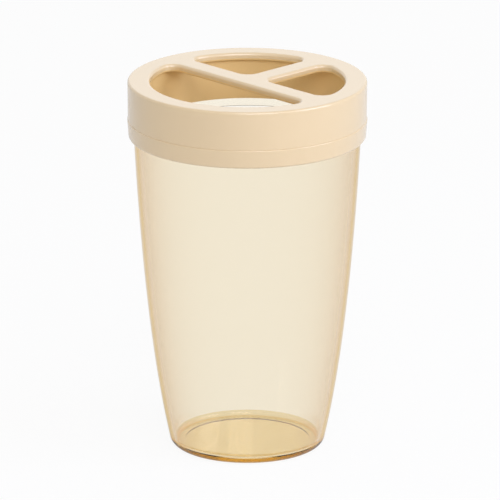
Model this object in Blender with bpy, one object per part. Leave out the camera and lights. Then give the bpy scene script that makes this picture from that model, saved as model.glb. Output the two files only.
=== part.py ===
"""Toothbrush cup: a clear tapered tumbler, a collar ring round its neck and a lid with three openings.

Lengths are in metres and angles in degrees. +Z is up, and the origin is the middle of the tumbler's foot.
The lid's long bar runs along X, and its branch bar runs along +Y.
"""

from math import asin, atan2, cos, degrees, radians, sin, sqrt

import bmesh
import bpy

# Whole object
TOTAL_HEIGHT = 0.1186
SEAM_RADIUS = 0.0375
FIT_GAP = 0.0003

# Lid: skirt, top plate and plug sleeve
SKIRT_DEPTH = 0.0121
SKIRT_WALL = 0.0013
SKIRT_DRAFT = 0.0001
LID_TOP_ROUND = 0.0012
PLATE_THICKNESS = 0.0024
SLEEVE_DEPTH = 0.0150
SLEEVE_WALL = 0.0014

# Lid: the bars and the three openings between them
LEDGE_WIDTH = 0.0009
MAIN_BAR_WIDTH = 0.0074
BRANCH_BAR_WIDTH = 0.0074
RIM_FILLET = 0.0035
CENTRE_FILLET = 0.0035
OPENING_TOP_ROUND = 0.0014
OPENING_LOWER_ROUND = 0.0004

# Collar: the band below the seam and the upstand inside the lid's skirt
BAND_HEIGHT = 0.00575
BAND_TAPER = 0.0004
BAND_FOOT_ROUND = 0.0008
UPSTAND_HEIGHT = 0.0060
UPSTAND_WALL = 0.0012

# Tumbler: neck, shoulder, bowed wall, floor and foot ring
NECK_WALL = 0.0014
NECK_HEADROOM = 0.0008
SHOULDER_WIDTH = 0.0011
FOOT_RADIUS = 0.0239
FOOT_WALL = 0.0020
FOOT_ROUND = 0.0028
FOOT_RING_WIDTH = 0.0020
FOOT_RECESS = 0.0004
FLOOR_THICKNESS = 0.0016
FLOOR_FILLET = 0.0028
BOW_RADIUS_SHARE = 0.70
BOW_HEIGHT_SHARE = 0.336

# Manufacturing details shared by the pieces
EDGE_BREAK = 0.0003
CUTTER_OVERRUN = 0.0010
WELD_DISTANCE = 0.000001

# Facets
TURN_STEPS = 72
WALL_STEPS = 10
ROUND_STEPS = 4
FILLET_STEPS = 5
RIM_ARC_STEP_DEGREES = 6.0
SMOOTH_ANGLE_DEGREES = 32.0

# Radii, worked out inwards from the seam
UPSTAND_RADIUS = SEAM_RADIUS - SKIRT_WALL - FIT_GAP
COLLAR_BORE_RADIUS = UPSTAND_RADIUS - UPSTAND_WALL
NECK_RADIUS = COLLAR_BORE_RADIUS - FIT_GAP
NECK_BORE_RADIUS = NECK_RADIUS - NECK_WALL
SLEEVE_RADIUS = NECK_BORE_RADIUS - FIT_GAP
SLEEVE_BORE_RADIUS = SLEEVE_RADIUS - SLEEVE_WALL
OPENING_RADIUS = SLEEVE_BORE_RADIUS - LEDGE_WIDTH
SHOULDER_RADIUS = NECK_RADIUS + SHOULDER_WIDTH

# Heights, worked out downwards from the lid's top
PLATE_UNDERSIDE = TOTAL_HEIGHT - PLATE_THICKNESS
LID_EDGE = TOTAL_HEIGHT - SKIRT_DEPTH
SLEEVE_EDGE = TOTAL_HEIGHT - SLEEVE_DEPTH
COLLAR_SEAT = LID_EDGE - FIT_GAP
BAND_FOOT = COLLAR_SEAT - BAND_HEIGHT
SHOULDER_HEIGHT = BAND_FOOT - FIT_GAP
NECK_TOP = PLATE_UNDERSIDE - NECK_HEADROOM
FLOOR_TOP = FOOT_RECESS + FLOOR_THICKNESS

AMBER = (0.955, 0.835, 0.560, 1.0)
BEIGE = (0.810, 0.665, 0.475, 1.0)


def clear_scene():
    """Remove every object that is already in the file."""
    for old in list(bpy.data.objects):
        bpy.data.objects.remove(old, do_unlink=True)


def plastic(name, color, roughness, transmission=0.0):
    """Return a Principled material for one moulded plastic."""
    material = bpy.data.materials.new(name)
    material.use_nodes = True
    shader = material.node_tree.nodes["Principled BSDF"]
    shader.inputs["Base Color"].default_value = color
    shader.inputs["Roughness"].default_value = roughness
    shader.inputs["Metallic"].default_value = 0.0
    shader.inputs["Transmission Weight"].default_value = transmission
    material.diffuse_color = color
    return material


def arc(centre, radius, start, end, steps):
    """Return the points of an arc, both ends included, from the start angle to the end angle."""
    turn = (end - start) / steps
    angles = [radians(start + turn * step) for step in range(steps + 1)]
    return [(centre[0] + radius * cos(angle), centre[1] + radius * sin(angle)) for angle in angles]


def make_object(name, bm, material, height=0.0):
    """Turn a bmesh, drawn in world heights, into an object whose origin stands on the axis at one height."""
    bmesh.ops.translate(bm, vec=(0.0, 0.0, -height), verts=bm.verts)
    bmesh.ops.recalc_face_normals(bm, faces=bm.faces)
    mesh = bpy.data.meshes.new(name)
    bm.to_mesh(mesh)
    bm.free()
    mesh.shade_smooth()
    mesh.set_sharp_from_angle(angle=radians(SMOOTH_ANGLE_DEGREES))
    mesh.materials.append(material)
    piece = bpy.data.objects.new(name, mesh)
    piece.location = (0.0, 0.0, height)
    bpy.context.scene.collection.objects.link(piece)
    return piece


def turned(profile, closed):
    """Return a bmesh of a profile of (radius, height) points turned once round the Z axis."""
    bm = bmesh.new()
    ring = [bm.verts.new((radius, 0.0, height)) for radius, height in profile]
    edges = [bm.edges.new(pair) for pair in zip(ring, ring[1:])]
    if closed:
        edges.append(bm.edges.new((ring[-1], ring[0])))
    full_turn = radians(360.0)
    bmesh.ops.spin(bm, geom=ring + edges, cent=(0, 0, 0), axis=(0, 0, 1), angle=full_turn, steps=TURN_STEPS)
    bmesh.ops.remove_doubles(bm, verts=bm.verts, dist=WELD_DISTANCE)
    return bm


def wall_point(foot_radius, top_radius, share):
    """Return the (radius, height) of a place on a bowed wall, which is a curve with one control point."""
    bow_radius = foot_radius + BOW_RADIUS_SHARE * (top_radius - foot_radius)
    foot_weight, bow_weight, top_weight = (1 - share) ** 2, 2 * share * (1 - share), share ** 2
    radius = foot_weight * foot_radius + bow_weight * bow_radius + top_weight * top_radius
    height = (bow_weight * BOW_HEIGHT_SHARE + top_weight) * SHOULDER_HEIGHT
    return radius, height


def wall_share(height):
    """Return the share of the wall's curve at which it reaches a height."""
    height_share = height / SHOULDER_HEIGHT
    root = sqrt(BOW_HEIGHT_SHARE ** 2 + (1 - 2 * BOW_HEIGHT_SHARE) * height_share)
    return height_share / (BOW_HEIGHT_SHARE + root)


def wall_lean(foot_radius, top_radius, share):
    """Return how far, in degrees, the wall leans outwards at a share of its curve."""
    rise = 2 * SHOULDER_HEIGHT * ((1 - 2 * share) * BOW_HEIGHT_SHARE + share)
    spread = 2 * (top_radius - foot_radius) * ((1 - 2 * share) * BOW_RADIUS_SHARE + share)
    return degrees(atan2(spread, rise))


def wall_with_rounded_foot(foot_radius, top_radius, floor_height, round_radius):
    """Return a bowed wall from its top down, and the arc that carries it smoothly into a flat floor."""
    floor_share = wall_share(floor_height)
    lean = wall_lean(foot_radius, top_radius, floor_share)
    corner_radius = wall_point(foot_radius, top_radius, floor_share)[0]
    arc_centre_radius = corner_radius - round_radius * (1 - sin(radians(lean))) / cos(radians(lean))
    arc_top = floor_height + round_radius * (1 - sin(radians(lean)))
    arc_top_share = wall_share(arc_top)
    shares = [1 - (1 - arc_top_share) * step / WALL_STEPS for step in range(WALL_STEPS)]
    wall = [wall_point(foot_radius, top_radius, share) for share in shares]
    centre = (arc_centre_radius, floor_height + round_radius)
    return wall + arc(centre, round_radius, -lean, -90.0, ROUND_STEPS)


def build_tumbler():
    """Return the clear cup: foot ring, floor, bowed wall, shoulder and neck, turned from one profile."""
    outside = wall_with_rounded_foot(FOOT_RADIUS, SHOULDER_RADIUS, 0.0, FOOT_ROUND)
    ring_inner_radius = outside[-1][0] - FOOT_RING_WIDTH
    underside = [(ring_inner_radius, 0.0), (ring_inner_radius - FOOT_RECESS, FOOT_RECESS), (0.0, FOOT_RECESS)]
    inner_foot_radius = FOOT_RADIUS - FOOT_WALL
    inside = wall_with_rounded_foot(inner_foot_radius, NECK_BORE_RADIUS, FLOOR_TOP, FLOOR_FILLET)
    rim = [
        (NECK_BORE_RADIUS, NECK_TOP - EDGE_BREAK),
        (NECK_BORE_RADIUS + EDGE_BREAK, NECK_TOP),
        (NECK_RADIUS - EDGE_BREAK, NECK_TOP),
        (NECK_RADIUS, NECK_TOP - EDGE_BREAK),
    ]
    shoulder = [(NECK_RADIUS, SHOULDER_HEIGHT)]
    profile = [(0.0, FLOOR_TOP)] + inside[::-1] + rim + shoulder + outside + underside
    return make_object("tumbler", turned(profile, closed=False), plastic("clear_amber", AMBER, 0.05, 0.9))


def build_collar():
    """Return the ring that sits on the tumbler's shoulder, with its tapering band and its upstand."""
    foot_radius = SEAM_RADIUS - BAND_TAPER
    upstand_top = COLLAR_SEAT + UPSTAND_HEIGHT
    foot_centre = (foot_radius - BAND_FOOT_ROUND, BAND_FOOT + BAND_FOOT_ROUND)
    profile = [
        (COLLAR_BORE_RADIUS, upstand_top),
        (UPSTAND_RADIUS - EDGE_BREAK, upstand_top),
        (UPSTAND_RADIUS, upstand_top - EDGE_BREAK),
        (UPSTAND_RADIUS, COLLAR_SEAT),
        (SEAM_RADIUS - EDGE_BREAK, COLLAR_SEAT),
        (SEAM_RADIUS, COLLAR_SEAT - EDGE_BREAK),
        *arc(foot_centre, BAND_FOOT_ROUND, 0.0, -90.0, ROUND_STEPS),
        (COLLAR_BORE_RADIUS, BAND_FOOT),
    ]
    ring = turned(profile, closed=True)
    return make_object("collar", ring, plastic("beige_collar", BEIGE, 0.5), COLLAR_SEAT)


def build_lid_blank(material):
    """Return the lid before its openings are cut: plate, skirt and plug sleeve, turned from one profile."""
    top_radius = SEAM_RADIUS - SKIRT_DRAFT
    skirt_bore_radius = SEAM_RADIUS - SKIRT_WALL
    top_centre = (top_radius - LID_TOP_ROUND, TOTAL_HEIGHT - LID_TOP_ROUND)
    profile = [
        (0.0, TOTAL_HEIGHT),
        *arc(top_centre, LID_TOP_ROUND, 90.0, 0.0, ROUND_STEPS),
        (SEAM_RADIUS, LID_EDGE + EDGE_BREAK),
        (SEAM_RADIUS - EDGE_BREAK, LID_EDGE),
        (skirt_bore_radius, LID_EDGE),
        (skirt_bore_radius, PLATE_UNDERSIDE),
        (SLEEVE_RADIUS, PLATE_UNDERSIDE),
        (SLEEVE_RADIUS, SLEEVE_EDGE + EDGE_BREAK),
        (SLEEVE_RADIUS - EDGE_BREAK, SLEEVE_EDGE),
        (SLEEVE_BORE_RADIUS, SLEEVE_EDGE),
        (SLEEVE_BORE_RADIUS, PLATE_UNDERSIDE),
        (0.0, PLATE_UNDERSIDE),
    ]
    return make_object("lid", turned(profile, closed=False), material, LID_EDGE)


def rim_corner(bar_width):
    """Return a rim fillet's centre: how far along the bar, and how far out from the bar's middle."""
    out = bar_width / 2 + RIM_FILLET
    along = sqrt((OPENING_RADIUS - RIM_FILLET) ** 2 - out ** 2)
    return along, out


def rim_arc_steps(start, end):
    """Return how many facets a stretch of the openings' rim gets."""
    return max(1, round((end - start) / RIM_ARC_STEP_DEGREES))


def half_moon_outline(grow):
    """Return the outline of the large opening at the main bar's plain side, grown outwards by a width."""
    along, out = rim_corner(MAIN_BAR_WIDTH)
    lean = degrees(asin(out / (OPENING_RADIUS - RIM_FILLET)))
    steps = rim_arc_steps(lean - 180.0, -lean)
    return [
        *arc((0.0, 0.0), OPENING_RADIUS + grow, lean - 180.0, -lean, steps)[:-1],
        *arc((along, -out), RIM_FILLET + grow, -lean, 90.0, FILLET_STEPS),
        *arc((-along, -out), RIM_FILLET + grow, 90.0, 180.0 + lean, FILLET_STEPS)[:-1],
    ]


def quarter_outline(grow):
    """Return the outline of the opening between the bar and the branch, on the +X side, grown by a width."""
    main_along, main_out = rim_corner(MAIN_BAR_WIDTH)
    branch_along, branch_out = rim_corner(BRANCH_BAR_WIDTH)
    start = degrees(atan2(main_out, main_along))
    end = degrees(atan2(branch_along, branch_out))
    centre = (BRANCH_BAR_WIDTH / 2 + CENTRE_FILLET, MAIN_BAR_WIDTH / 2 + CENTRE_FILLET)
    return [
        *arc((0.0, 0.0), OPENING_RADIUS + grow, start, end, rim_arc_steps(start, end))[:-1],
        *arc((branch_out, branch_along), RIM_FILLET + grow, end, 180.0, FILLET_STEPS),
        *arc(centre, CENTRE_FILLET + grow, 180.0, 270.0, FILLET_STEPS),
        *arc((main_along, main_out), RIM_FILLET + grow, 270.0, 360.0 + start, FILLET_STEPS)[:-1],
    ]


def opening_levels():
    """Return the (height, growth) pairs of an opening's loft, from below the plate to above it."""
    lower = arc((0.0, PLATE_UNDERSIDE + OPENING_LOWER_ROUND), OPENING_LOWER_ROUND, -90.0, 0.0, 2)
    upper = arc((0.0, TOTAL_HEIGHT - OPENING_TOP_ROUND), OPENING_TOP_ROUND, 0.0, 90.0, ROUND_STEPS)
    levels = [(PLATE_UNDERSIDE - CUTTER_OVERRUN, OPENING_LOWER_ROUND)]
    levels += [(height, OPENING_LOWER_ROUND - reach) for reach, height in lower]
    levels += [(height, OPENING_TOP_ROUND - reach) for reach, height in upper]
    levels.append((TOTAL_HEIGHT + CUTTER_OVERRUN, OPENING_TOP_ROUND))
    return levels


def build_opening_cutter(name, outline, side, lid):
    """Loft one opening's outline through its levels into a cutter, and take it out of the lid."""
    bm = bmesh.new()
    rings = []
    for height, grow in opening_levels():
        rings.append([bm.verts.new((side * x, y, height)) for x, y in outline(grow)])
    for lower, upper in zip(rings, rings[1:]):
        for index in range(len(lower)):
            bm.faces.new((lower[index - 1], lower[index], upper[index], upper[index - 1]))
    bm.faces.new(rings[0])
    bm.faces.new(rings[-1])
    cutter = make_object(name, bm, lid.data.materials[0], LID_EDGE)
    cutter.hide_render = True
    cutter.display_type = "WIRE"
    cut = lid.modifiers.new(name, "BOOLEAN")
    cut.operation = "DIFFERENCE"
    cut.solver = "EXACT"
    cut.object = cutter
    return cutter


def build_lid():
    """Return the lid with its three openings, and the cutters that make them."""
    lid = build_lid_blank(plastic("beige_lid", BEIGE, 0.5))
    cutters = [
        build_opening_cutter("half_moon_cutter", half_moon_outline, 1, lid),
        build_opening_cutter("right_quarter_cutter", quarter_outline, 1, lid),
        build_opening_cutter("left_quarter_cutter", quarter_outline, -1, lid),
    ]
    return lid, cutters


def carry(child, parent):
    """Parent a piece to the piece that carries it, leaving it where it is."""
    bpy.context.view_layer.update()
    child.parent = parent
    child.matrix_parent_inverse = parent.matrix_world.inverted()


def main():
    """Build the cup: the collar turns on the tumbler, and the lid lifts off the collar."""
    clear_scene()
    tumbler = build_tumbler()
    collar = build_collar()
    lid, cutters = build_lid()
    carry(collar, tumbler)
    carry(lid, collar)
    for cutter in cutters:
        carry(cutter, lid)


main()
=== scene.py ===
"""Looks of the toothbrush cup: a clear amber tumbler, a satin beige collar and lid, and a pale studio.

Lengths are in metres. The lid's long bar runs along X and its branch along +Y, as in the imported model.
"""

import logging
from dataclasses import dataclass, field
from enum import Enum
from math import atan2, ceil, cos, pi, radians, sin, sqrt
from typing import Any, Mapping, Sequence

import bmesh
import bpy
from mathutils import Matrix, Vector


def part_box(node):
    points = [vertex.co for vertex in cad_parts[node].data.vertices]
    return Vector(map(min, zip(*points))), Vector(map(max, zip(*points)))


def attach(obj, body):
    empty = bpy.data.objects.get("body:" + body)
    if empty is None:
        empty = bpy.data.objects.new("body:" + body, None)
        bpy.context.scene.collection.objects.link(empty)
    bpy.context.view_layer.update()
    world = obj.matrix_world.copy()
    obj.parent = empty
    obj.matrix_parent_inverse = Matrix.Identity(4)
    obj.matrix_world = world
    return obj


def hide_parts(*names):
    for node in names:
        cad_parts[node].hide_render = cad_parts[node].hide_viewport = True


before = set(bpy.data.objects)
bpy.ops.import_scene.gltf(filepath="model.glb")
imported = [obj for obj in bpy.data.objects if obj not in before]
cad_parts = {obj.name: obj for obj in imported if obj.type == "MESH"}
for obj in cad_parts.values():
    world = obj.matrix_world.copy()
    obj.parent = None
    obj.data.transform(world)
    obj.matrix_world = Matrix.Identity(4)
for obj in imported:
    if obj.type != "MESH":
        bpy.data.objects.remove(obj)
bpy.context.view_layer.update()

log = logging.getLogger("toothbrush_cup")

Point = tuple[float, float]
Corner = tuple[float, float, float]
Color = tuple[float, float, float]

MM = 0.001
FULL_TURN = 2 * pi
TURN_STEPS = 240
ARC_STEP = radians(6.0)
SMALL_ARC_STEP = ARC_STEP * 2
RIM_STEP = radians(2.0)
WALL_STEPS = 48
STEP_SLACK = 1e-9
SHARP_ANGLE = radians(40.0)

WHITE: Color = (1.0, 1.0, 1.0)
LEVEL = (1.0, 1.0, 0.0)
NOISE_MIDDLE = 0.5
EVEN_BLEND = 0.5


class Value:
    """A shader number that can be used in Python expressions, each of which adds its Math node."""

    def __init__(self, graph: "Graph", socket: bpy.types.NodeSocket) -> None:
        """Wrap an output socket of a graph."""
        self.graph = graph
        self.socket = socket

    def _math(self, operation: str, first: Any, second: Any) -> "Value":
        """Return the result of a Math node on two numbers or sockets."""
        return self.graph.node("ShaderNodeMath", {"operation": operation}, {0: first, 1: second})

    def __add__(self, other: Any) -> "Value":
        """Return self + other."""
        return self._math("ADD", self, other)

    def __radd__(self, other: Any) -> "Value":
        """Return other + self."""
        return self._math("ADD", other, self)

    def __sub__(self, other: Any) -> "Value":
        """Return self - other."""
        return self._math("SUBTRACT", self, other)

    def __rsub__(self, other: Any) -> "Value":
        """Return other - self."""
        return self._math("SUBTRACT", other, self)

    def __mul__(self, other: Any) -> "Value":
        """Return self * other."""
        return self._math("MULTIPLY", self, other)

    def __rmul__(self, other: Any) -> "Value":
        """Return other * self."""
        return self._math("MULTIPLY", other, self)

    def __pow__(self, other: Any) -> "Value":
        """Return self to the power of other."""
        return self._math("POWER", self, other)

    def __lt__(self, other: Any) -> "Value":
        """Return 1 where self is less than other, and else 0."""
        return self._math("LESS_THAN", self, other)

    def __gt__(self, other: Any) -> "Value":
        """Return 1 where self is greater than other, and else 0."""
        return self._math("GREATER_THAN", self, other)

    def at_most(self, other: Any) -> "Value":
        """Return the smaller of self and other."""
        return self._math("MINIMUM", self, other)


class Graph:
    """A node tree that is filled through one method."""

    def __init__(self, tree: bpy.types.NodeTree) -> None:
        """Empty the tree.

        Args:
            tree: the node tree of a material or of the world.
        """
        self.tree = tree
        tree.nodes.clear()

    def node(
        self, kind: str, settings: Mapping[str, Any], inputs: Mapping[Any, Any], output: Any = None
    ) -> Value:
        """Add a node.

        Args:
            kind: the node's type, such as ShaderNodeMath.
            settings: its properties, which are set before the sockets.
            inputs: its sockets by name or index, each with a plain value or a Value to link.
            output: the name or index of the output to return; the first enabled one by default.

        Returns:
            The chosen output, or the first input of a node that has no output.
        """
        made = self.tree.nodes.new(kind)
        for name, value in settings.items():
            setattr(made, name, value)
        for key, value in inputs.items():
            socket = self._socket(made.inputs, key)
            if isinstance(value, Value):
                self.tree.links.new(value.socket, socket)
            else:
                socket.default_value = value
        if not len(made.outputs):
            return Value(self, made.inputs[0])
        return Value(self, self._socket(made.outputs, output))

    def blend(self, share: Value, low: Value | Color, high: Value | Color) -> Value:
        """Mix two colours.

        Args:
            share: how much of the second colour is taken, from 0 to 1.
            low: the first colour.
            high: the second colour.

        Returns:
            The mixed colour.
        """
        low, high = (each if isinstance(each, Value) else (*each, 1.0) for each in (low, high))
        inputs = {"Factor": share, "A": low, "B": high}
        return self.node("ShaderNodeMix", {"data_type": "RGBA"}, inputs, "Result")

    def place(self) -> tuple[Value, Value, Value]:
        """Find where on the cup a point of a surface lies.

        Returns:
            The object's own coordinates, the distance from the cup's axis and the height.
        """
        where = self.node("ShaderNodeTexCoord", {}, {}, "Object")
        x, y, height = (self.node("ShaderNodeSeparateXYZ", {}, {0: where}, axis) for axis in "XYZ")
        return where, (x * x + y * y) ** 0.5, height

    def faces_out(self, place: Value) -> Value:
        """Tell outward surfaces from inward ones, seen from either side.

        Args:
            place: the object's own coordinates.

        Returns:
            1 where the surface faces away from the cup's axis, and else 0.
        """
        normal = self.node("ShaderNodeTexCoord", {}, {}, "Normal")
        behind = self.node("ShaderNodeNewGeometry", {}, {}, "Backfacing")
        level = self.node("ShaderNodeVectorMath", {"operation": "MULTIPLY"}, {0: place, 1: LEVEL})
        inputs = {0: level, 1: normal}
        along = self.node("ShaderNodeVectorMath", {"operation": "DOT_PRODUCT"}, inputs, "Value")
        return along * (1 - 2 * behind) > 0.0

    @staticmethod
    def _socket(sockets: Sequence[bpy.types.NodeSocket], key: Any) -> bpy.types.NodeSocket:
        """Find a socket.

        Args:
            sockets: the sockets of one side of a node.
            key: the socket's index or its name, or None for the first.

        Returns:
            The socket, which is an enabled one unless it is found by its index.
        """
        if isinstance(key, int):
            return sockets[key]
        return next(socket for socket in sockets if socket.enabled and key in (None, socket.name))


@dataclass(frozen=True)
class SatinPlastic:
    """Opaque moulded plastic with a fine spark-eroded texture.

    The surface inside inner_radius and below inner_top has a roughness of its own, and a colour and a
    metallic share that are painted light: painted shade that deepens the lid's inside, and a painted
    white mirror that makes the collar's bore read bright.
    """

    name: str
    color: Color
    # painted light inside the mask: painted shade on the lid, a painted white mirror on the collar
    painted_inner_color: Color
    inner_radius: float
    inner_top: float
    painted_mirror_metallic: float = 0.0
    inner_roughness: float = 0.42
    roughness: float = 0.42
    roughness_swing: float = 0.06
    ior: float = 1.5
    specular: float = 0.5
    coat: float = 1.0
    coat_roughness: float = 0.18
    coat_ior: float = 1.7
    tone_swing: float = 0.02
    cloud_size: float = 14 * MM
    cloud_detail: float = 3.0
    grain_size: float = 0.35 * MM
    grain_detail: float = 2.0
    grain_depth: float = 0.006 * MM

    def material(self) -> bpy.types.Material:
        """Make the material.

        Returns:
            A material that shows the finish.
        """
        made = bpy.data.materials.new(self.name)
        made.use_nodes = True
        graph = Graph(made.node_tree)
        place, radius, height = graph.place()
        cloud, grain = (
            graph.node("ShaderNodeTexNoise", {}, {"Vector": place, "Scale": 1 / size, "Detail": detail})
            for size, detail in ((self.cloud_size, self.cloud_detail), (self.grain_size, self.grain_detail))
        )
        dark, light = (
            tuple(channel * (1 + swing) for channel in self.color)
            for swing in (-self.tone_swing, self.tone_swing)
        )
        # Painted light: inside this mask the colour, metallic share and coat are swapped, which paints shade
        # on the lid's inside and a white mirror on the collar's bore.
        inside = (radius < self.inner_radius) * (height < self.inner_top)
        tone = graph.blend(inside, graph.blend(cloud, dark, light), self.painted_inner_color)
        normal = graph.node(
            "ShaderNodeBump", {}, {"Height": grain, "Strength": 1.0, "Distance": self.grain_depth}
        )
        shader = graph.node(
            "ShaderNodeBsdfPrincipled",
            {},
            {
                "Base Color": tone,
                "Metallic": inside * self.painted_mirror_metallic if self.painted_mirror_metallic else 0.0,
                "Roughness": (
                    self.roughness
                    + self.roughness_swing * (grain - NOISE_MIDDLE)
                    + (self.inner_roughness - self.roughness) * inside
                ),
                "IOR": self.ior,
                "Specular IOR Level": self.specular,
                "Coat Weight": self.coat * (1 - inside),
                "Coat Roughness": self.coat_roughness,
                "Coat IOR": self.coat_ior,
                "Normal": normal,
            },
        )
        graph.node("ShaderNodeOutputMaterial", {}, {"Surface": shader})
        return made


@dataclass(frozen=True)
class ClearPlastic:
    """Transparent plastic whose tint deepens with the length of the way through it.

    The tint and density belong to its body. Its surface is tinted as well: by skin_tint up to
    neck_height, by painted_shadow_tint below floor_top within floor_radius, and by foot_tint below foot_top
    outside foot_radius. The painted_shadow_tint is painted shade: a deeper gold on the cup's floor that
    stands in for the cup's amber shadow on the table under it. The foot's tint and the edge_tint of the
    outer wall come in where the surface is seen at a slant, by a power of the slant times a reach.
    """

    name: str
    tint: Color
    density: float
    skin_tint: Color
    neck_height: float
    painted_shadow_tint: Color
    floor_top: float
    floor_radius: float
    foot_tint: Color
    foot_top: float
    foot_radius: float
    edge_tint: Color
    foot_reach: float = 20.0
    foot_power: float = 2.0
    edge_reach: float = 1.8
    edge_power: float = 2.3
    ior: float = 1.5
    roughness: float = 0.012
    roughness_swing: float = 0.008
    cloud_size: float = 22 * MM
    cloud_detail: float = 2.0

    def material(self) -> bpy.types.Material:
        """Make the material.

        Returns:
            A material that shows the finish.
        """
        made = bpy.data.materials.new(self.name)
        made.use_nodes = True
        graph = Graph(made.node_tree)
        place, radius, height = graph.place()
        inputs = {"Vector": place, "Scale": 1 / self.cloud_size, "Detail": self.cloud_detail}
        cloud = graph.node("ShaderNodeTexNoise", {}, inputs)
        slant = graph.node("ShaderNodeLayerWeight", {}, {"Blend": EVEN_BLEND}, "Facing")
        deepened = (slant**self.foot_power * self.foot_reach).at_most(1.0)
        at_foot = (height < self.foot_top) * (radius > self.foot_radius) * deepened
        # Painted shadow: the cup's floor is tinted a deeper gold for the table under it, which is lit only
        # through the amber plastic.
        at_painted_shadow = (height < self.floor_top) * (radius < self.floor_radius)
        at_edge = (slant**self.edge_power * self.edge_reach).at_most(1.0) * graph.faces_out(place)
        skin = graph.blend(height > self.neck_height, self.skin_tint, WHITE)
        skin = graph.blend(at_painted_shadow, skin, self.painted_shadow_tint)
        skin = graph.blend(at_foot, skin, self.foot_tint)
        skin = graph.blend(at_edge, skin, self.edge_tint)
        polish = self.roughness + self.roughness_swing * (cloud - NOISE_MIDDLE)
        shader = graph.node(
            "ShaderNodeBsdfPrincipled",
            {},
            {
                "Base Color": skin,
                "Roughness": polish,
                "IOR": self.ior,
                "Transmission Weight": 1.0,
            },
        )
        inputs = {"Color": (*self.tint, 1.0), "Density": self.density}
        body = graph.node("ShaderNodeVolumeAbsorption", {}, inputs)
        graph.node("ShaderNodeOutputMaterial", {}, {"Surface": shader, "Volume": body})
        return made


def arc(centre: Point, radius: float, start: float, end: float, step: float = ARC_STEP) -> list[Point]:
    """Return the points of an arc.

    Args:
        centre: its centre.
        radius: its radius.
        start: the angle of its first point, in radians.
        end: the angle of its last point.
        step: the widest angle between two points.

    Returns:
        The points, with both ends.
    """
    count = max(1, ceil(abs(end - start) / step - STEP_SLACK))
    angles = [start + (end - start) * index / count for index in range(count + 1)]
    return [(centre[0] + radius * cos(angle), centre[1] + radius * sin(angle)) for angle in angles]


def rounded(corners: Sequence[Corner]) -> list[Point]:
    """Round the corners of an outline.

    Args:
        corners: (radius, height, rounding) of each corner. The first and the last stay as they are.

    Returns:
        The outline, with an arc in place of each corner that has a rounding.
    """
    points = [corners[0][:2]]
    for before, here, after in zip(corners, corners[1:], corners[2:]):
        if not here[2]:
            points.append(here[:2])
            continue
        towards, onwards = ((Vector(other[:2]) - Vector(here[:2])).normalized() for other in (before, after))
        half = towards.angle(onwards) / 2
        middle = (towards + onwards).normalized()
        centre = Vector(here[:2]) + middle * here[2] / sin(half)
        start, end = (-towards.orthogonal(), onwards.orthogonal())
        if start.dot(middle) > 0:
            start, end = -start, -end
        first, last = atan2(start.y, start.x), atan2(end.y, end.x)
        if last - first > pi:
            last -= FULL_TURN
        if first - last > pi:
            last += FULL_TURN
        points += arc(tuple(centre), here[2], first, last, SMALL_ARC_STEP)
    points.append(corners[-1][:2])
    return points


class Shell:
    """A mesh in the making: rings of corners that are joined by strips of faces."""

    def __init__(self) -> None:
        """Start an empty mesh."""
        self.bm = bmesh.new()

    def ring(self, points: Sequence[tuple[float, float, float]]) -> list[bmesh.types.BMVert]:
        """Add a ring of corners."""
        return [self.bm.verts.new(point) for point in points]

    def circle(self, radius: float, height: float) -> list[bmesh.types.BMVert]:
        """Add a level circle round the axis."""
        angles = [FULL_TURN * step / TURN_STEPS for step in range(TURN_STEPS)]
        return self.ring([(radius * cos(angle), radius * sin(angle), height) for angle in angles])

    def strip(self, one: Sequence[bmesh.types.BMVert], other: Sequence[bmesh.types.BMVert]) -> None:
        """Join two rings of as many corners by a closed strip of faces."""
        for index in range(len(one)):
            self.bm.faces.new((one[index - 1], one[index], other[index], other[index - 1]))

    def strips(self, rings: Sequence[Sequence[bmesh.types.BMVert]]) -> None:
        """Join each ring to the next."""
        for one, other in zip(rings, rings[1:]):
            self.strip(one, other)

    def fan(self, ring: Sequence[bmesh.types.BMVert], height: float) -> None:
        """Close a ring with triangles to a point on the axis.

        Args:
            ring: the ring of corners.
            height: the point's height.
        """
        middle = self.bm.verts.new((0.0, 0.0, height))
        for index in range(len(ring)):
            self.bm.faces.new((ring[index - 1], ring[index], middle))

    def plate(self, rings: Sequence[Sequence[bmesh.types.BMVert]]) -> None:
        """Fill the flat space between an outer ring and the rings inside it.

        Args:
            rings: the rings, all at one height.
        """
        edges = []
        for ring in rings:
            edges += [self.bm.edges.get((ring[index - 1], ring[index])) for index in range(len(ring))]
        bmesh.ops.triangle_fill(self.bm, use_beauty=True, use_dissolve=False, edges=edges)

    def finish(self, name: str, material: bpy.types.Material) -> bpy.types.Object:
        """Turn the mesh into an object.

        Args:
            name: the piece's name.
            material: its finish.

        Returns:
            The object, smooth except along sharp edges.
        """
        bmesh.ops.recalc_face_normals(self.bm, faces=self.bm.faces)
        mesh = bpy.data.meshes.new(name)
        self.bm.to_mesh(mesh)
        self.bm.free()
        mesh.shade_smooth()
        mesh.set_sharp_from_angle(angle=SHARP_ANGLE)
        mesh.materials.append(material)
        piece = bpy.data.objects.new(name, mesh)
        bpy.context.scene.collection.objects.link(piece)
        weighted = piece.modifiers.new("flat_faces_first", "WEIGHTED_NORMAL")
        weighted.keep_sharp = True
        return piece


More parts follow.
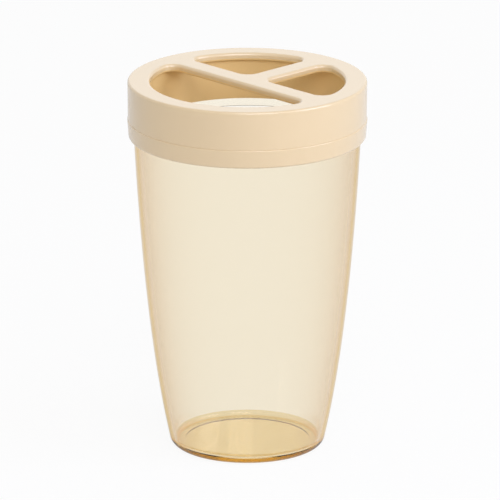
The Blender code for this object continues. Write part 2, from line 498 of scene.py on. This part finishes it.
@dataclass
class Tumbler:
    """The clear cup: foot ring, floor, bowed wall, shoulder and neck."""

    finish: ClearPlastic
    foot_radius: float = 23.9 * MM
    foot_wall: float = 2.0 * MM
    foot_round: float = 2.8 * MM
    foot_ring_width: float = 2.0 * MM
    foot_recess: float = 0.4 * MM
    floor_thickness: float = 1.6 * MM
    floor_fillet: float = 1.2 * MM
    bow_radius_share: float = 0.70
    bow_height_share: float = 0.336
    neck_wall: float = 1.4 * MM
    shoulder_width: float = 1.1 * MM
    shoulder_drop: float = 15.02 * MM
    edge_round: float = 0.1 * MM
    rim_round: float = 0.6 * MM
    shoulder_height: float = field(init=False)

    def __post_init__(self) -> None:
        """Work out the shoulder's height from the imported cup."""
        self.shoulder_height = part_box("tumbler")[1].z - self.shoulder_drop

    def wall_point(self, foot: float, top: float, share: float) -> Point:
        """Find a place on the bowed wall.

        Args:
            foot: the wall's radius at the foot.
            top: its radius at the shoulder.
            share: how far up the curve, from 0 to 1.

        Returns:
            Its radius and its height.
        """
        low, middle, high = (1 - share) ** 2, 2 * share * (1 - share), share**2
        bow = foot + self.bow_radius_share * (top - foot)
        height = (middle * self.bow_height_share + high) * self.shoulder_height
        return low * foot + middle * bow + high * top, height

    def wall_share(self, height: float) -> float:
        """Return the share of the wall's curve at a height."""
        share, bow = height / self.shoulder_height, self.bow_height_share
        return share / (bow + sqrt(bow**2 + (1 - 2 * bow) * share))

    def wall(self, foot: float, top: float, floor: float, fillet: float) -> list[Point]:
        """Draw a bowed wall and the arc that carries it into a flat floor.

        Args:
            foot: the wall's radius at the foot.
            top: its radius at the shoulder.
            floor: the height of the floor.
            fillet: the radius of the arc.

        Returns:
            The outline, from the wall's top down.
        """
        share = self.wall_share(floor)
        radius = self.wall_point(foot, top, share)[0]
        spread = (top - foot) * ((1 - 2 * share) * self.bow_radius_share + share)
        lean = atan2(spread, self.shoulder_height * ((1 - 2 * share) * self.bow_height_share + share))
        centre = (radius - fillet * (1 - sin(lean)) / cos(lean), floor + fillet)
        low = self.wall_share(floor + fillet * (1 - sin(lean)))
        shares = [1 - (1 - low) * step / WALL_STEPS for step in range(WALL_STEPS)]
        return [self.wall_point(foot, top, each) for each in shares] + arc(centre, fillet, -lean, -pi / 2)

    def build(self) -> bpy.types.Object:
        """Make the tumbler.

        Returns:
            Its piece, which replaces its CAD solid.
        """
        low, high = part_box("tumbler")
        top_radius, rim = high.x, high.z
        neck = top_radius - self.shoulder_width
        bore = neck - self.neck_wall
        floor = self.foot_recess + self.floor_thickness
        outside = self.wall(self.foot_radius, top_radius, low.z, self.foot_round)
        inside = self.wall(self.foot_radius - self.foot_wall, bore, floor, self.floor_fillet)
        ring_inner = outside[-1][0] - self.foot_ring_width
        neck_outline = rounded(
            [
                (*inside[0], 0.0),
                (bore, rim, self.rim_round),
                (neck, rim, self.rim_round),
                (neck, self.shoulder_height, 0.0),
                (top_radius, self.shoulder_height, self.edge_round),
                (*outside[1], 0.0),
            ]
        )
        underside = [(ring_inner, low.z), (ring_inner, self.foot_recess)]
        shell = Shell()
        profile = inside[:0:-1] + neck_outline + outside[2:] + underside
        rings = [shell.circle(*point) for point in profile]
        shell.strips(rings)
        shell.fan(rings[0], floor)
        shell.fan(rings[-1], self.foot_recess)
        piece = shell.finish("tumbler_clear", self.finish.material())
        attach(piece, "tumbler")
        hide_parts("tumbler")
        return piece


@dataclass
class Collar:
    """The beige ring on the tumbler's shoulder: a tapering band and an upstand inside the lid."""

    finish: SatinPlastic
    bore_radius: float = 34.43 * MM
    upstand_wall: float = 1.47 * MM
    upstand_height: float = 5.88 * MM
    taper: float = 0.4 * MM
    foot_round: float = 0.8 * MM
    seam_round: float = 0.3 * MM
    bore_round: float = 0.05 * MM

    def build(self) -> bpy.types.Object:
        """Make the collar.

        Returns:
            Its piece, which replaces its CAD solid.
        """
        low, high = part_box("collar")
        middle = (low.z + high.z) / 2
        seat = high.z - self.upstand_height
        upstand = self.bore_radius + self.upstand_wall
        outline = rounded(
            [
                (self.bore_radius, middle, 0.0),
                (self.bore_radius, high.z, self.bore_round),
                (upstand, high.z, self.bore_round),
                (upstand, seat, 0.0),
                (high.x, seat, self.seam_round),
                (high.x - self.taper, low.z, self.foot_round),
                (self.bore_radius, low.z, self.bore_round),
                (self.bore_radius, middle, 0.0),
            ]
        )[:-1]
        shell = Shell()
        rings = [shell.circle(*point) for point in outline]
        shell.strips(rings + rings[:1])
        piece = shell.finish("collar_ring", self.finish.material())
        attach(piece, "collar")
        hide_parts("collar")
        return piece


class Opening(Enum):
    """The three openings between the lid's bars, each with the side of the branch it lies on, if any."""

    HALF_MOON = 0
    RIGHT_QUARTER = 1
    LEFT_QUARTER = -1


@dataclass
class Lid:
    """The beige cap: plate with bars and openings, skirt and plug sleeve."""

    finish: SatinPlastic
    top_round: float = 0.8 * MM
    draft: float = 0.1 * MM
    lip: float = 0.2 * MM
    skirt_wall: float = 1.3 * MM
    skirt_depth: float = 12.27 * MM
    plate_thickness: float = 2.4 * MM
    sleeve_radius: float = 32.7 * MM
    sleeve_wall: float = 1.4 * MM
    ledge: float = 0.9 * MM
    bar_width: float = 7.4 * MM
    branch_width: float = 7.4 * MM
    rim_fillet: float = 3.5 * MM
    centre_fillet: float = 3.5 * MM
    opening_round: float = 1.0 * MM
    opening_lower_round: float = 0.4 * MM
    edge_round: float = 0.06 * MM
    border: float = 0.15 * MM
    opening_radius: float = field(init=False)

    def __post_init__(self) -> None:
        """Work out how far out the openings reach."""
        self.opening_radius = self.sleeve_radius - self.sleeve_wall - self.ledge

    def corner(self, width: float) -> Point:
        """Return where a rim fillet has its centre: along a bar of that width, and out from its middle."""
        out = width / 2 + self.rim_fillet
        return sqrt((self.opening_radius - self.rim_fillet) ** 2 - out**2), out

    def half_moon(self, grow: float) -> list[Point]:
        """Draw the large opening.

        Args:
            grow: how far it is grown outwards.

        Returns:
            Its outline.
        """
        along, out = self.corner(self.bar_width)
        lean = atan2(out, along)
        return [
            *arc((0.0, 0.0), self.opening_radius + grow, lean - pi, -lean, RIM_STEP)[:-1],
            *arc((along, -out), self.rim_fillet + grow, -lean, pi / 2),
            *arc((-along, -out), self.rim_fillet + grow, pi / 2, pi + lean)[:-1],
        ]

    def quarter(self, grow: float) -> list[Point]:
        """Draw the opening between the bar and the +X side of its branch.

        Args:
            grow: how far it is grown outwards.

        Returns:
            Its outline.
        """
        bar_along, bar_out = self.corner(self.bar_width)
        branch_along, branch_out = self.corner(self.branch_width)
        start, end = atan2(bar_out, bar_along), atan2(branch_along, branch_out)
        centre = (self.branch_width / 2 + self.centre_fillet, self.bar_width / 2 + self.centre_fillet)
        return [
            *arc((0.0, 0.0), self.opening_radius + grow, start, end, RIM_STEP)[:-1],
            *arc((branch_out, branch_along), self.rim_fillet + grow, end, pi),
            *arc(centre, self.centre_fillet + grow, pi, 3 * pi / 2),
            *arc((bar_along, bar_out), self.rim_fillet + grow, -pi / 2, start)[:-1],
        ]

    def outline(self, opening: Opening, grow: float) -> list[Point]:
        """Draw an opening.

        Args:
            opening: which one.
            grow: how far it is grown outwards.

        Returns:
            Its outline.
        """
        if opening is Opening.HALF_MOON:
            return self.half_moon(grow)
        return [(opening.value * x, y) for x, y in self.quarter(grow)]

    def levels(self, underside: float, top: float) -> list[Point]:
        """Draw the section of an opening's wall, with its two rounded edges.

        Args:
            underside: the height of the plate's underside.
            top: the height of its top.

        Returns:
            The growth of the opening and the height of each point, from below upwards.
        """
        lower, upper = self.opening_lower_round, self.opening_round
        below = arc((0.0, underside + lower), lower, -pi / 2, 0.0, SMALL_ARC_STEP)
        above = arc((0.0, top - upper), upper, 0.0, pi / 2)
        return [
            (lower + self.border, underside),
            *((lower - reach, height) for reach, height in below),
            *((upper - reach, height) for reach, height in above),
            (upper + self.border, top),
        ]

    def build(self) -> bpy.types.Object:
        """Make the lid.

        Returns:
            Its piece, which replaces its CAD solid.
        """
        low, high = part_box("lid")
        top, sleeve_foot = high.z, low.z
        underside, skirt_foot = top - self.plate_thickness, top - self.skirt_depth
        sleeve_bore = self.sleeve_radius - self.sleeve_wall
        skirt_bore = high.x - self.skirt_wall
        soft = self.edge_round
        outline = rounded(
            [
                (high.x - self.draft - self.top_round - self.border, top, 0.0),
                (high.x - self.draft, top, self.top_round),
                (high.x - self.lip, skirt_foot, soft),
                (skirt_bore, skirt_foot, soft),
                (skirt_bore, underside, 0.0),
                (self.sleeve_radius, underside, 0.0),
                (self.sleeve_radius, sleeve_foot, soft),
                (sleeve_bore, sleeve_foot, soft),
                (sleeve_bore, underside, 0.0),
            ]
        )
        shell = Shell()
        rings = [shell.circle(*point) for point in outline]
        shell.strips(rings)
        tops, bottoms = [rings[0]], [rings[-1]]
        for opening in Opening:
            walls = [
                shell.ring([(x, y, height) for x, y in self.outline(opening, grow)])
                for grow, height in self.levels(underside, top)
            ]
            shell.strips(walls)
            bottoms.append(walls[0])
            tops.append(walls[-1])
        shell.plate(tops)
        shell.plate(bottoms)
        piece = shell.finish("lid_cap", self.finish.material())
        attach(piece, "lid")
        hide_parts("lid")
        return piece


@dataclass(frozen=True)
class Softbox:
    """A square studio lamp, placed by its angles in degrees from where the camera stands."""

    name: str
    azimuth: float
    elevation: float
    irradiance: float
    color: Color = WHITE
    distance: float = 1.6
    size: float = 0.9


@dataclass
class Studio:
    """The pale floor, the surrounding light, the lamps and the camera.

    The lens and the sensor are in millimetres, as the camera takes them. The floor is seen as white,
    but for a shadow_share of its look, which is lit and so keeps the cup's shadow.
    """

    azimuth: float = radians(46.0)
    camera_reach: float = 2.388
    camera_height: float = 0.7986
    aim_height: float = 63.0 * MM
    aim_side: float = 0.83 * MM
    lens: float = 573.5
    sensor: float = 36.0
    floor_size: float = 8.0
    floor_drop: float = 0.1 * MM
    floor_color: Color = (0.95, 0.95, 0.95)
    shadow_share: float = 0.08
    floor_gloss_share: float = 0.4
    surround: float = 0.47
    surround_color: Color = (1.0, 0.985, 0.94)
    bounces: int = 24

    def direction(self, azimuth: float, elevation: float = 0.0) -> Vector:
        """Return the direction from the cup to a place, by its angles from where the camera stands."""
        turn = self.azimuth + azimuth
        return Vector((sin(turn) * cos(elevation), -cos(turn) * cos(elevation), sin(elevation)))

    def build_floor(self) -> None:
        """Make the floor: white as it is seen, and grey-white as it lights the cup."""
        half = self.floor_size / 2
        mesh = bpy.data.meshes.new("floor")
        corners = [(x * half, y * half, -self.floor_drop) for x, y in ((-1, -1), (1, -1), (1, 1), (-1, 1))]
        mesh.from_pydata(corners, [], [(0, 1, 2, 3)])
        floor = bpy.data.objects.new("floor", mesh)
        bpy.context.scene.collection.objects.link(floor)
        made = bpy.data.materials.new("floor_white")
        made.use_nodes = True
        graph = Graph(made.node_tree)
        lit = graph.node("ShaderNodeBsdfDiffuse", {}, {"Color": (*self.floor_color, 1.0)})
        white = graph.node("ShaderNodeEmission", {}, {"Color": (*WHITE, 1.0), "Strength": 1.0})
        seen = self.seen(graph, self.floor_gloss_share) * (1 - self.shadow_share)
        surface = graph.node("ShaderNodeMixShader", {}, {0: seen, 1: lit, 2: white})
        graph.node("ShaderNodeOutputMaterial", {}, {"Surface": surface})
        mesh.materials.append(made)

    @staticmethod
    def seen(graph: Graph, gloss_share: float = 1.0) -> Value:
        """Tell the rays that show something from those that light it.

        Args:
            graph: the graph to add to.
            gloss_share: the value for a ray that shows something in a gloss.

        Returns:
            1 for a ray that shows something straight or through the clear wall, and 0 for one that lights.
        """
        camera, gloss, through = (
            graph.node("ShaderNodeLightPath", {}, {}, f"Is {kind} Ray")
            for kind in ("Camera", "Glossy", "Transmission")
        )
        return (camera + gloss * gloss_share + through).at_most(1.0)

    def build_surround(self) -> None:
        """Make the light from all round, and the white that is seen behind the cup."""
        world = bpy.data.worlds.new("studio")
        world.use_nodes = True
        graph = Graph(world.node_tree)
        seen = self.seen(graph)
        inputs = {
            "Color": graph.blend(seen, self.surround_color, WHITE),
            "Strength": self.surround + (1 - self.surround) * seen,
        }
        light = graph.node("ShaderNodeBackground", {}, inputs)
        graph.node("ShaderNodeOutputWorld", {}, {"Surface": light})
        bpy.context.scene.world = world

    def build_lamp(self, box: Softbox) -> None:
        """Make one lamp, which faces the cup.

        Args:
            box: its place, size and light.
        """
        data = bpy.data.lights.new(box.name, "AREA")
        data.shape = "SQUARE"
        data.size = box.size
        data.energy = box.irradiance * pi * box.distance**2 * pi
        data.color = box.color
        lamp = bpy.data.objects.new(box.name, data)
        towards = self.direction(radians(box.azimuth), radians(box.elevation))
        lamp.location = towards * box.distance
        lamp.rotation_euler = towards.to_track_quat("Z", "Y").to_euler()
        bpy.context.scene.collection.objects.link(lamp)
        log.info("%s lights the cup from %.0f degrees", box.name, box.azimuth)

    def build_camera(self) -> None:
        """Put the camera where the photograph was taken from."""
        data = bpy.data.cameras.new("camera")
        data.lens = self.lens
        data.sensor_width = self.sensor
        data.clip_end = self.floor_size * 2
        camera = bpy.data.objects.new("camera", data)
        stand = self.direction(0.0)
        right = Vector((-stand.y, stand.x, 0.0))
        camera.location = stand * self.camera_reach + Vector((0.0, 0.0, self.camera_height))
        aim = right * self.aim_side + Vector((0.0, 0.0, self.aim_height))
        camera.rotation_euler = (aim - camera.location).to_track_quat("-Z", "Y").to_euler()
        bpy.context.scene.collection.objects.link(camera)
        bpy.context.scene.camera = camera

    def build(self, lamps: Sequence[Softbox]) -> None:
        """Make the whole studio.

        Args:
            lamps: the lamps to set up.
        """
        self.build_floor()
        self.build_surround()
        for box in lamps:
            self.build_lamp(box)
        self.build_camera()
        scene = bpy.context.scene
        scene.view_settings.view_transform = "Standard"
        scene.cycles.max_bounces = self.bounces
        scene.cycles.glossy_bounces = self.bounces
        scene.cycles.transmission_bounces = self.bounces


BEIGE = (0.83, 0.63, 0.365)
# Painted shade: a deeper, more saturated beige for the lid's inside and the walls of its openings, standing
# in for light that bounces in the recess.
PAINTED_SHADE_BEIGE = (0.835, 0.575, 0.25)
CLEAR_AMBER = ClearPlastic(
    "clear_amber",
    tint=(0.86, 0.67, 0.2),
    density=25.0,
    skin_tint=(0.96, 0.922, 0.838),
    neck_height=100.2 * MM,
    # painted shadow: the deeper gold of the cup's floor stands in for its amber shadow on the table
    painted_shadow_tint=(0.775, 0.605, 0.30),
    floor_top=3.4 * MM,
    floor_radius=23.2 * MM,
    foot_tint=(0.84, 0.38, 0.0),
    foot_top=2.0 * MM,
    foot_radius=21.8 * MM,
    edge_tint=(0.55, 0.27, 0.02),
)
BEIGE_COLLAR = SatinPlastic(
    "beige_collar",
    color=BEIGE,
    # Painted light: the collar's bore is a white mirror, a painted bright surface that makes the clear neck
    # in front of it read near white.
    painted_inner_color=WHITE,
    inner_radius=35.0 * MM,
    inner_top=106.0 * MM,
    painted_mirror_metallic=1.0,
    inner_roughness=0.05,
)
BEIGE_LID = SatinPlastic(
    "beige_lid",
    color=BEIGE,
    # painted shade inside the lid, up to just below its top's rounding
    painted_inner_color=PAINTED_SHADE_BEIGE,
    inner_radius=31.5 * MM,
    inner_top=116.9 * MM,
)
LAMPS = (
    Softbox("key_softbox", azimuth=12.0, elevation=45.0, irradiance=0.31, color=(1.0, 1.0, 1.14)),
    Softbox("side_softbox", azimuth=72.0, elevation=32.0, irradiance=0.345, color=(0.9, 0.99, 1.28)),
    Softbox("back_softbox", azimuth=180.0, elevation=20.0, irradiance=0.025),
)


def main() -> None:
    """Dress the cup, report its pieces and light it."""
    logging.basicConfig(level=logging.INFO, format="%(name)s %(message)s")
    for part in (Tumbler(CLEAR_AMBER), Collar(BEIGE_COLLAR), Lid(BEIGE_LID)):
        piece = part.build()
        log.info("%s: %d faces", piece.name, len(piece.data.polygons))
    Studio().build(LAMPS)


if __name__ == "__main__":
    main()
